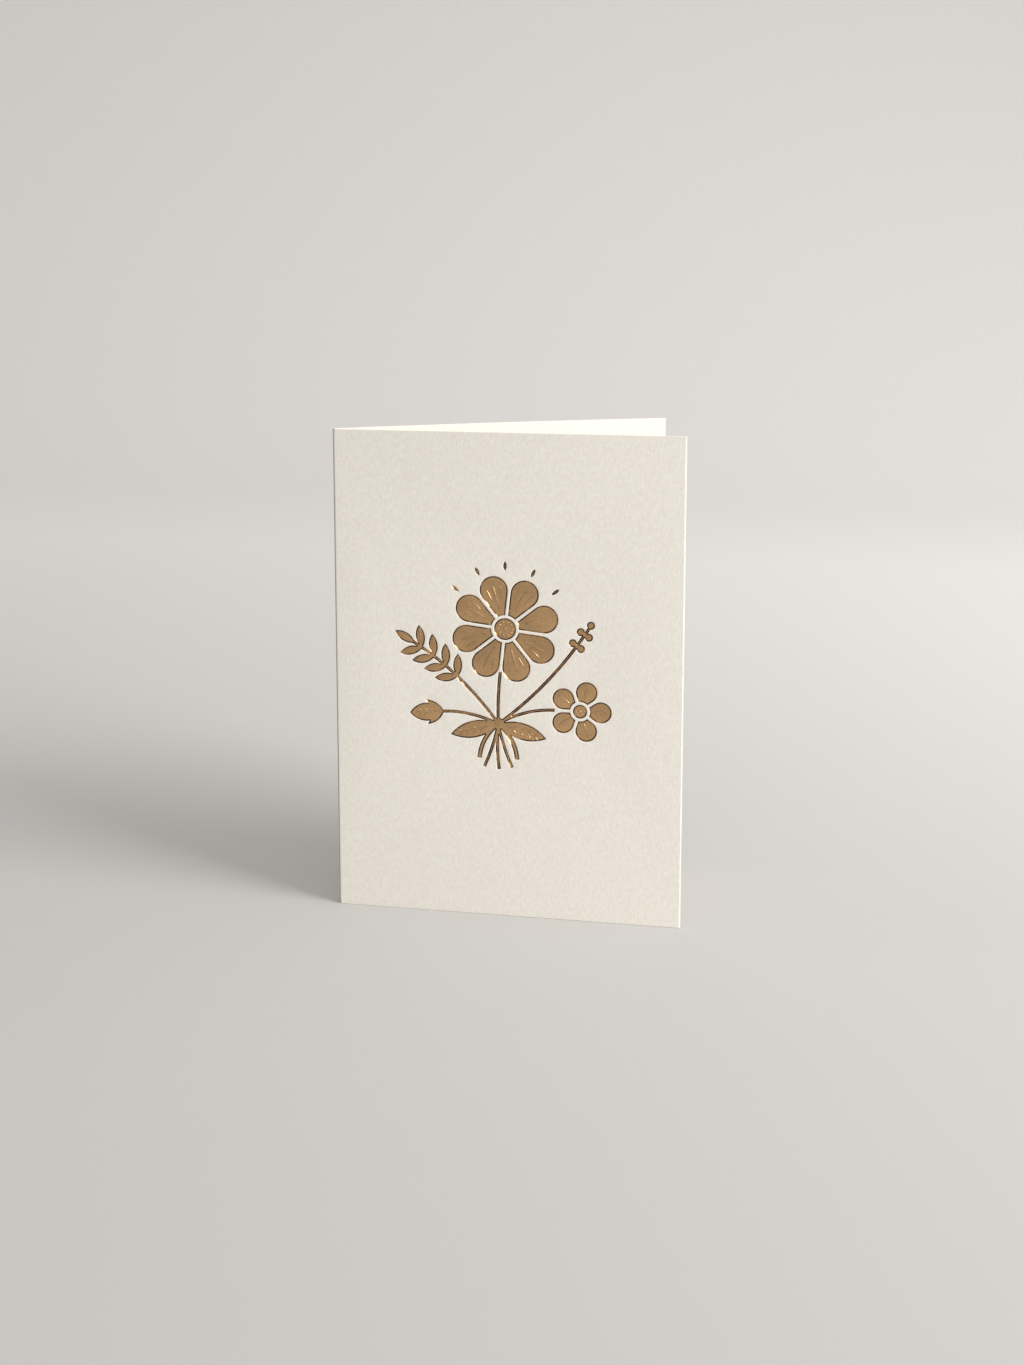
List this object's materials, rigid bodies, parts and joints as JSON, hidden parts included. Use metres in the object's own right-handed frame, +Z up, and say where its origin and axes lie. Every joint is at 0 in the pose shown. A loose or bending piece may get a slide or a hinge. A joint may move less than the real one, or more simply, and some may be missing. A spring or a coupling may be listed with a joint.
{
  "type": "greeting card",
  "caption": "Folded portrait greeting card standing open in a V, with a flower posy pressed into the front panel and covered in gold foil.",
  "frame": {"origin": "middle of the standing card's footprint, on the ground under its lower edge", "axes": "+X from the fold towards the free edge of the front panel, -Y out of the front panel's face, +Z up"},
  "size_m": [0.105, 0.0436, 0.148],
  "materials": {
    "card_board": "uncoated soft cream board with a fine fibre texture",
    "gold_foil": "satin bronze-gold metal foil, hot stamped into the board"
  },
  "bodies": {
    "root": {"folded_card": "card_board", "gold_foil": "gold_foil"}
  },
  "joints": []
}
